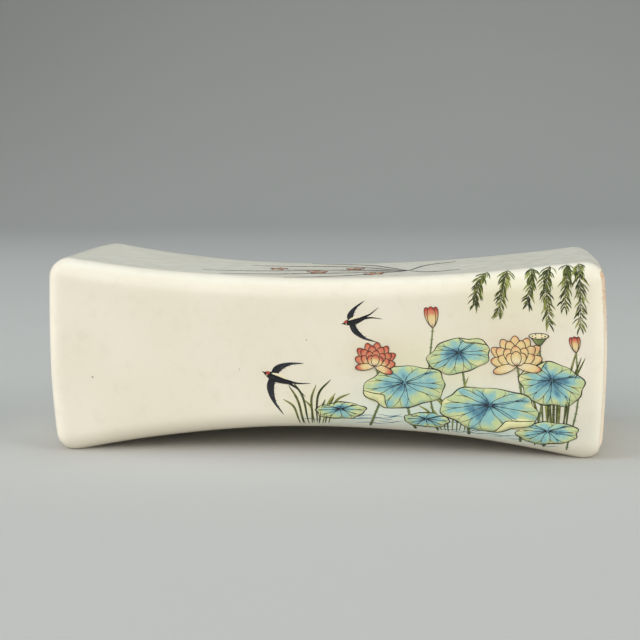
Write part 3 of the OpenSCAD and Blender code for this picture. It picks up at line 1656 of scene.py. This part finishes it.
@dataclass(frozen=True)
class Swallow:
    """A swallow in flight, in black with a coral throat and a pale breast."""

    u: float
    v: float
    size: float
    turn: float
    bank: float
    lift: float = 0.06
    feathers: int = 5
    tail_sink: float = 0.015
    feather_rise: float = 0.02
    body_rise: float = 0.03
    beak_rise: float = 0.04
    breast_rise: float = 0.045
    throat_rise: float = 0.05
    eye_rise: float = 0.06

    def local(self, forward: float, left: float) -> Vector:
        """Turns a place in shares of the swallow's size into flat millimetres."""
        middle = Vector((self.u, self.v))
        return middle + polar(forward * self.size, self.turn) + polar(left * self.size, self.turn + 90)

    def line(self, *places: tuple[float, float]) -> Outline:
        """Makes a smooth line through places in shares of its size."""
        return spline([self.local(*p) for p in places])

    def chord(self, s: float) -> float:
        """Gives the wing's breadth from its root to its tip."""
        swell = 0.65 + 0.35 * math.sin(math.pi * min(1.0, s * 1.4))
        return self.size * (0.3 * (1 - s) ** 0.75 + 0.015) * swell

    def girth(self, s: float) -> float:
        """Gives the body's breadth from its rump to its head."""
        return self.size * (0.05 + 0.24 * math.sin(math.pi * min(1.0, 0.1 + 0.82 * s)) ** 1.3)

    def paint(self, on: Painting) -> None:
        """Paints the tail, wings, body and head in order.

        Args:
            on: The painting.
        """
        for side in (-1, 1):
            fork = self.line((-0.3, 0.02 * side), (-0.62, 0.08 * side), (-1.0, 0.24 * side))
            width = thinning(self.size * 0.1, self.size * 0.015)
            on.stroke(Layer.PLUMAGE, fork, width, self.lift - self.tail_sink, even(0.25), Grain.LONG)
            reach = side * (1.0 if side > 0 else self.bank)
            wing = self.line(
                (0.22, 0.06 * side), (0.16, 0.42 * reach), (-0.12, 0.8 * reach), (-0.55, 1.08 * reach))
            on.stroke(Layer.PLUMAGE, wing, self.chord, self.lift, lambda s: 0.2 + 0.5 * s, Grain.LONG)
            for k in range(self.feathers):
                root = wing(0.18 + 0.15 * k)
                back = root + polar(self.size * (0.2 - 0.03 * k), self.turn + 180 + 22 * side)
                on.stroke(Layer.INK, spline((root, back)), tapered(0.2), self.lift + self.feather_rise)
        body = self.line((-0.42, 0.0), (0.0, 0.02), (0.3, 0.01), (0.52, 0.0))
        on.stroke(Layer.PLUMAGE, body, self.girth, self.lift + self.body_rise, even(0.1), Grain.LONG)
        breast = self.line((-0.26, -0.075), (0.05, -0.1), (0.3, -0.07))
        on.stroke(Layer.PETAL, breast, tapered(self.size * 0.09), self.lift + self.breast_rise, even(0.0))
        throat = self.local(0.42, -0.03)
        patch = round_spot(throat, self.size * 0.07)
        on.pad(Layer.CORAL, patch, throat, self.lift + self.throat_rise, even(0.3))
        beak = self.line((0.5, 0.005), (0.62, -0.01))
        on.stroke(Layer.INK, beak, thinning(self.size * 0.06, 0.1), self.lift + self.beak_rise)
        eye = self.local(0.43, 0.045)
        on.pad(Layer.PETAL, round_spot(eye, 0.2), eye, self.lift + self.eye_rise, even(0.0))


@dataclass(frozen=True)
class Ripples:
    """Fine water lines under the leaves."""

    u_from: float
    u_to: float
    v: float
    count: int
    seed: int
    spread: float = 2.2
    sink: float = 0.00105
    lengths: tuple[float, float] = (6, 14)
    waver: float = 0.35
    width: float = 0.3
    lift: float = 0.02

    def paint(self, on: Painting) -> None:
        """Paints short wavering lines, lower towards the ends as the base arches down to them.

        Args:
            on: The painting.
        """
        draw = random.Random(self.seed)
        for _ in range(self.count):
            start = draw.uniform(self.u_from, self.u_to)
            length = draw.uniform(*self.lengths)
            level = self.v - self.sink * start ** 2 + draw.uniform(-self.spread, self.spread)
            steps = (0, 0.25, 0.5, 0.75, 1)
            waves = [level + self.waver * math.sin(6 * t + start) for t in steps]
            line = spline([(start + length * t, wave) for t, wave in zip(steps, waves)])
            on.stroke(Layer.LEAF, line, tapered(self.width), self.lift, even(0.2), Grain.LONG)


@dataclass(frozen=True)
class InkOrchid:
    """Long orchid leaves in ink that sweep across the headrest, with a few small coral blossoms."""

    root: tuple[float, float] = (30.0, -7.0)
    blades: tuple[tuple[tuple[float, float], tuple[float, float]], ...] = (
        ((2.0, 1.0), (-46.0, -15.0)),
        ((6.0, 12.0), (-32.0, 11.0)),
        ((-2.0, -10.0), (-38.0, -22.0)),
        ((14.0, 16.0), (-10.0, 23.0)),
        ((12.0, -16.0), (-14.0, -24.0)),
        ((36.0, 10.0), (47.0, 17.0)),
        ((38.0, -14.0), (49.0, -12.0)),
    )
    blossoms: tuple[tuple[float, float, float], ...] = (
        (-4.0, -6.0, 4.2), (9.0, 4.0, 3.8), (18.0, -13.0, 4.0), (-20.0, 2.0, 3.6))
    width: float = 1.7
    lift: float = 0.05
    leaf_step: float = 0.006
    petals: int = 5
    petal_lift: float = 0.1
    petal_step: float = 0.01

    def paint(self, on: Painting) -> None:
        """Paints the leaves from their root, then the blossoms on their stalks.

        Args:
            on: The painting.
        """
        for k, (knee, tip) in enumerate(self.blades):
            line = spline((self.root, knee, tip))
            width = tapered(self.width - 0.1 * k, 0.12, 0.6)
            on.stroke(Layer.INK, line, width, self.lift + self.leaf_step * k, grain=Grain.LONG)
        for u, v, size in self.blossoms:
            middle = Vector((u, v))
            stalk = spline((self.root, (middle + Vector(self.root)) / 2 + Vector((0, 2.5)), middle))
            on.stroke(Layer.INK, stalk, Pen.STALK.width, self.lift, even(0.8), Grain.LONG)
            for k in range(self.petals):
                angle = 360 / self.petals * k + 10 * u
                lift = self.petal_lift + self.petal_step * k
                Petal(middle, size, size * 0.55, angle, lift, 1.0).paint(on)


@dataclass(frozen=True)
class PondPicture:
    """The lotus pond on the front face, and the orchid on the headrest."""

    leaves: tuple[LotusLeaf, ...] = (
        LotusLeaf(49.0, 1.0, 11.0, 6.2, 12, 0.06, 13, 0.9),
        LotusLeaf(81.0, -8.5, 11.0, 7.6, -10, 0.08, 14, 2.4),
        LotusLeaf(30.0, -10.5, 14.5, 7.6, 6, 0.10, 14, 3.7),
        LotusLeaf(60.0, -18.0, 17.0, 7.8, -4, 0.12, 15, 5.4),
        LotusLeaf(80.5, -26.0, 10.5, 4.0, 3, 0.10, 13),
        LotusLeaf(7.0, -19.5, 9.0, 3.0, 2, 0.07, 12),
        LotusLeaf(38.0, -22.5, 8.0, 2.7, -2, 0.08, 12),
    )
    stems: tuple[Stem, ...] = (
        Stem(((53.0, -28.0), (52.0, -16.0), (49.5, 1.5))),
        Stem(((79.0, -31.5), (82.0, -20.0), (81.5, -8.0))),
        Stem(((34.0, -26.5), (31.5, -19.0), (30.5, -10.0))),
        Stem(((71.0, -30.0), (71.0, -15.0), (69.0, -1.0))),
        Stem(((17.5, -25.5), (21.5, -14.0), (19.5, -2.0)), 0.8),
        Stem(((42.0, -27.0), (38.5, -9.0), (40.0, 11.0)), 0.7),
        Stem(((87.0, -32.0), (90.0, -15.0), (89.0, 3.5)), 0.65),
        Stem(((76.0, -31.0), (78.0, -12.0), (76.5, 7.0)), 0.7),
    )
    reeds: tuple[ReedClump, ...] = (
        ReedClump(82.5, -28.0, 4.0, (18.0, 34.0), 12, 41, lean=8, bend=22),
        ReedClump(-3.0, -25.0, 5.0, (9.0, 19.0), 11, 42),
        ReedClump(47.0, -27.0, 5.0, (10.0, 22.0), 9, 43),
    )
    willows: tuple[WillowBranch, ...] = (
        WillowBranch(((59.0, 33.0), (56.5, 26.5), (55.0, 19.0)), 50, 1),
        WillowBranch(((66.0, 33.6), (65.0, 26.0), (63.0, 15.5)), 62, 2),
        WillowBranch(((74.0, 34.4), (74.5, 27.5), (73.0, 19.5)), 54, 3),
        WillowBranch(((80.5, 35.1), (79.5, 26.0), (80.0, 12.5)), 74, 4),
        WillowBranch(((86.0, 35.7), (86.5, 28.0), (85.5, 18.5)), 58, 5),
        WillowBranch(((90.0, 36.1), (91.0, 26.0), (90.5, 11.5)), 70, 6),
    )
    flowers: tuple[LotusFlower, ...] = (
        LotusFlower(69.0, -2.0, 10.5, 4, 0.15, 0.48),
        LotusFlower(19.3, -3.0, 8.6, -8, 0.12, 0.9),
    )
    buds: tuple[LotusBud, ...] = (
        LotusBud(40.0, 11.0, 7.5, 4, 0.1),
        LotusBud(89.0, 3.0, 5.6, 6, 0.1),
    )
    swallows: tuple[Swallow, ...] = (
        Swallow(-15.0, -8.0, 11.0, 158, 0.72),
        Swallow(13.0, 13.5, 9.0, 196, 0.6),
    )
    hazes: tuple[HazeSpot, ...] = (
        HazeSpot("haze_green", 64.0, 22.0, 14.0, 9.0, 0.22),
        HazeSpot("haze_green", 84.0, 22.0, 11.0, 11.0, 0.22),
        HazeSpot("haze_green", 40.0, -4.0, 24.0, 11.0, 0.3),
        HazeSpot("haze_green", -3.0, -20.0, 9.0, 8.0, 0.25),
        HazeSpot("haze_blue", 34.0, -18.0, 24.0, 10.0, 0.4),
        HazeSpot("haze_blue", 68.0, -24.0, 26.0, 10.0, 0.45),
        HazeSpot("haze_blue", 6.0, -27.0, 13.0, 5.0, 0.35),
        HazeSpot("haze_warm", 70.0, 4.0, 12.0, 9.0, 0.32),
        HazeSpot("haze_warm", 85.0, -20.0, 9.0, 12.0, 0.26),
        HazeSpot("haze_warm", 20.0, 1.0, 9.0, 7.0, 0.26),
    )
    ripples: Ripples = Ripples(-8.0, 78.0, -22.5, 24, 31)
    pod: SeedPod = SeedPod(76.5, 8.5, 3.4, 0.1)
    orchid: InkOrchid = InkOrchid()

    FINISHES = {
        Layer.STEM: EnamelFinish("stem_green", (
            (0.0, srgb(48, 62, 38)), (0.5, srgb(106, 120, 70)), (1.0, srgb(172, 176, 112)))),
        Layer.LEAF: EnamelFinish("leaf_turquoise", (
            (0.0, srgb(34, 54, 74)), (0.25, srgb(86, 134, 152)), (0.5, srgb(142, 190, 188)),
            (0.75, srgb(192, 206, 150)), (1.0, srgb(220, 216, 162))), 0.1, 4.0),
        Layer.PETAL: EnamelFinish("petal_cream_to_coral", (
            (0.0, srgb(238, 228, 190)), (0.35, srgb(230, 208, 146)), (0.7, srgb(212, 128, 96)),
            (1.0, srgb(180, 66, 50))), 0.06, 2.0),
        Layer.WILLOW: EnamelFinish("willow_olive", (
            (0.0, srgb(28, 34, 18)), (0.5, srgb(78, 86, 40)), (1.0, srgb(152, 156, 80))), 0.1, 2.0),
        Layer.CORAL: EnamelFinish("iron_red", (
            (0.0, srgb(146, 42, 34)), (0.5, srgb(190, 84, 62)), (1.0, srgb(214, 140, 106))), 0.08, 1.5),
        Layer.PLUMAGE: EnamelFinish("plumage_black", (
            (0.0, srgb(20, 20, 23)), (0.5, srgb(36, 38, 44)), (1.0, srgb(80, 84, 88))), 0.1, 2.0),
        Layer.INK: EnamelFinish("ink_black", (
            (0.0, srgb(20, 19, 20)), (0.5, srgb(36, 31, 29)), (1.0, srgb(76, 52, 40))), 0.15, 3.0, 0.28),
    }

    def paint(self, form: BlockForm, coat: GlazeCoat) -> None:
        """Paints both faces.

        Args:
            form: The block.
            coat: The glaze that the enamels lie on.
        """
        front = Painting(Face.FRONT)
        behind = (self.ripples, self.pod, *self.reeds, *self.stems, *self.willows)
        before = (*self.leaves, *self.buds, *self.flowers, *self.swallows)
        for motif in behind + before:
            motif.paint(front)
        front.lay(form, coat, self.FINISHES, "")
        top = Painting(Face.TOP)
        self.orchid.paint(top)
        top.lay(form, coat, self.FINISHES, "_top")


@dataclass(frozen=True)
class PhotoCamera:
    """The camera at the photograph's place, in millimetres and radians."""

    place: tuple[float, float, float] = (60.51, -469.64, 115.18)
    yaw: float = 0.137
    pitch: float = 0.1489
    roll: float = -0.0176
    focal_pixels: float = 1250.0
    clip: tuple[float, float] = (0.01, 50.0)

    def build(self) -> None:
        """Makes the camera the scene's own."""
        data = bpy.data.cameras.new("photo_camera")
        data.sensor_width = SENSOR
        data.lens = SENSOR * self.focal_pixels / IMAGE_SIDE
        data.clip_start, data.clip_end = self.clip
        camera = bpy.data.objects.new("photo_camera", data)
        ahead = Vector((
            -math.sin(self.yaw) * math.cos(self.pitch),
            math.cos(self.yaw) * math.cos(self.pitch),
            -math.sin(self.pitch),
        ))
        level = Vector((math.cos(self.yaw), math.sin(self.yaw), 0))
        upright = level.cross(ahead)
        right = level * math.cos(self.roll) + upright * math.sin(self.roll)
        turned = Matrix((right, right.cross(ahead), -ahead)).transposed()
        camera.matrix_world = Matrix.Translation(Vector(self.place) * MM) @ turned.to_4x4()
        bpy.context.scene.collection.objects.link(camera)
        bpy.context.scene.camera = camera


@dataclass(frozen=True)
class SoftLamp:
    """A soft area lamp, in metres, watts and degrees, with the share of its light that gloss mirrors."""

    name: str
    place: tuple[float, float, float]
    size: float
    watts: float
    colour: Colour
    sheen: float = 1.0
    spread: float = 180.0

    def build(self, target: Vector) -> None:
        """Makes the lamp as a pair: one for diffuse light and one for gloss.

        Args:
            target: The point that it is aimed at.
        """
        for mirrored, watts in ((False, self.watts), (True, self.watts * self.sheen)):
            data = bpy.data.lights.new(self.name, "AREA")
            data.shape = "SQUARE"
            data.size = self.size
            data.energy = watts
            data.color = self.colour
            data.spread = math.radians(self.spread)
            lamp = bpy.data.objects.new(self.name, data)
            lamp.location = self.place
            lamp.rotation_mode = "QUATERNION"
            lamp.rotation_quaternion = (target - Vector(self.place)).to_track_quat("-Z", "Y")
            lamp.visible_glossy = mirrored
            lamp.visible_diffuse = not mirrored
            bpy.context.scene.collection.objects.link(lamp)


@dataclass
class Studio:
    """A pale floor that sweeps up behind the pillow, and soft light."""

    half_width: float = 14.0
    front: float = -14.0
    back: float = 2.25
    wall: float = 4.0
    sweep: float = 1.2
    sweep_steps: int = 24
    world_colour: Colour = (0.82, 0.93, 1.0)
    world_strength: float = 0.22
    lamps: tuple[SoftLamp, ...] = (
        SoftLamp("over", (0.0, 0.15, 1.7), 0.9, 7.0, (0.52, 0.78, 1.0)),
        SoftLamp("front", (-0.1, -1.65, 0.8), 1.8, 15.4, (1.0, 0.96, 0.93)),
        SoftLamp("left", (-1.75, -0.4, 0.8), 1.8, 16.4, (0.98, 0.97, 1.0), 0.3, 110.0),
        SoftLamp("right", (1.75, -0.4, 0.75), 1.6, 13.0, (1.0, 0.99, 0.98), 0.3, 110.0),
    )

    def lay_floor(self, finish: StageFinish) -> None:
        """Makes the floor, which sweeps up into a wall behind.

        Args:
            finish: Its finish.
        """
        mesh = bmesh.new()
        bmesh.ops.create_grid(mesh, x_segments=1, y_segments=1, size=1)
        for vert in mesh.verts:
            vert.co.x *= self.half_width
            vert.co.y = self.back if vert.co.y > 0 else self.front
        far = [e for e in mesh.edges if all(v.co.y > 0 for v in e.verts)]
        raised = bmesh.ops.extrude_edge_only(mesh, edges=far)["geom"]
        top = [g for g in raised if isinstance(g, bmesh.types.BMVert)]
        bmesh.ops.translate(mesh, vec=(0, 0, self.wall), verts=top)
        bmesh.ops.bevel(
            mesh,
            geom=far,
            offset=self.sweep,
            segments=self.sweep_steps,
            profile=0.5,
            affect="EDGES",
            material=-1,
        )
        bmesh.ops.recalc_face_normals(mesh, faces=mesh.faces)
        floor = place_mesh("studio_floor", mesh, finish.material())

    def fill_light(self) -> None:
        """Makes the world a soft, even fill."""
        world = bpy.data.worlds.new("studio")
        world.use_nodes = True
        sky = world.node_tree.nodes["Background"]
        sky.inputs["Color"].default_value = (*self.world_colour, 1.0)
        sky.inputs["Strength"].default_value = self.world_strength
        bpy.context.scene.world = world

    def build(self, finish: StageFinish) -> None:
        """Makes the floor, the world and the lamps.

        Args:
            finish: The floor's finish.
        """
        self.lay_floor(finish)
        self.fill_light()
        low, high = cad_box
        for lamp in self.lamps:
            lamp.build((low + high) / 2)


def dress_clay(finish: BiscuitFinish) -> None:
    """Gives the CAD nodes the look of bare clay.

    Args:
        finish: The clay's finish.
    """
    material = finish.material()
    for name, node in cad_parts.items():
        node.data.materials.clear()
        node.data.materials.append(material)
        log.info("%s: clay", name)


def main() -> None:
    """Builds the camera, the studio and the pillow's pieces in order."""
    logging.basicConfig(level=logging.INFO, format="%(name)s %(message)s")
    bpy.context.scene.view_settings.view_transform = "Standard"
    PhotoCamera().build()
    Studio().build(StageFinish())
    form = BlockForm()
    coat = GlazeCoat(form)
    picture = PondPicture()
    dress_clay(BiscuitFinish())
    coat.build(GlazeFinish(), picture.hazes)
    BareEnd(form).build(BiscuitFinish("bare_end_clay", flushed=True))
    picture.paint(form, coat)


if __name__ == "__main__":
    main()
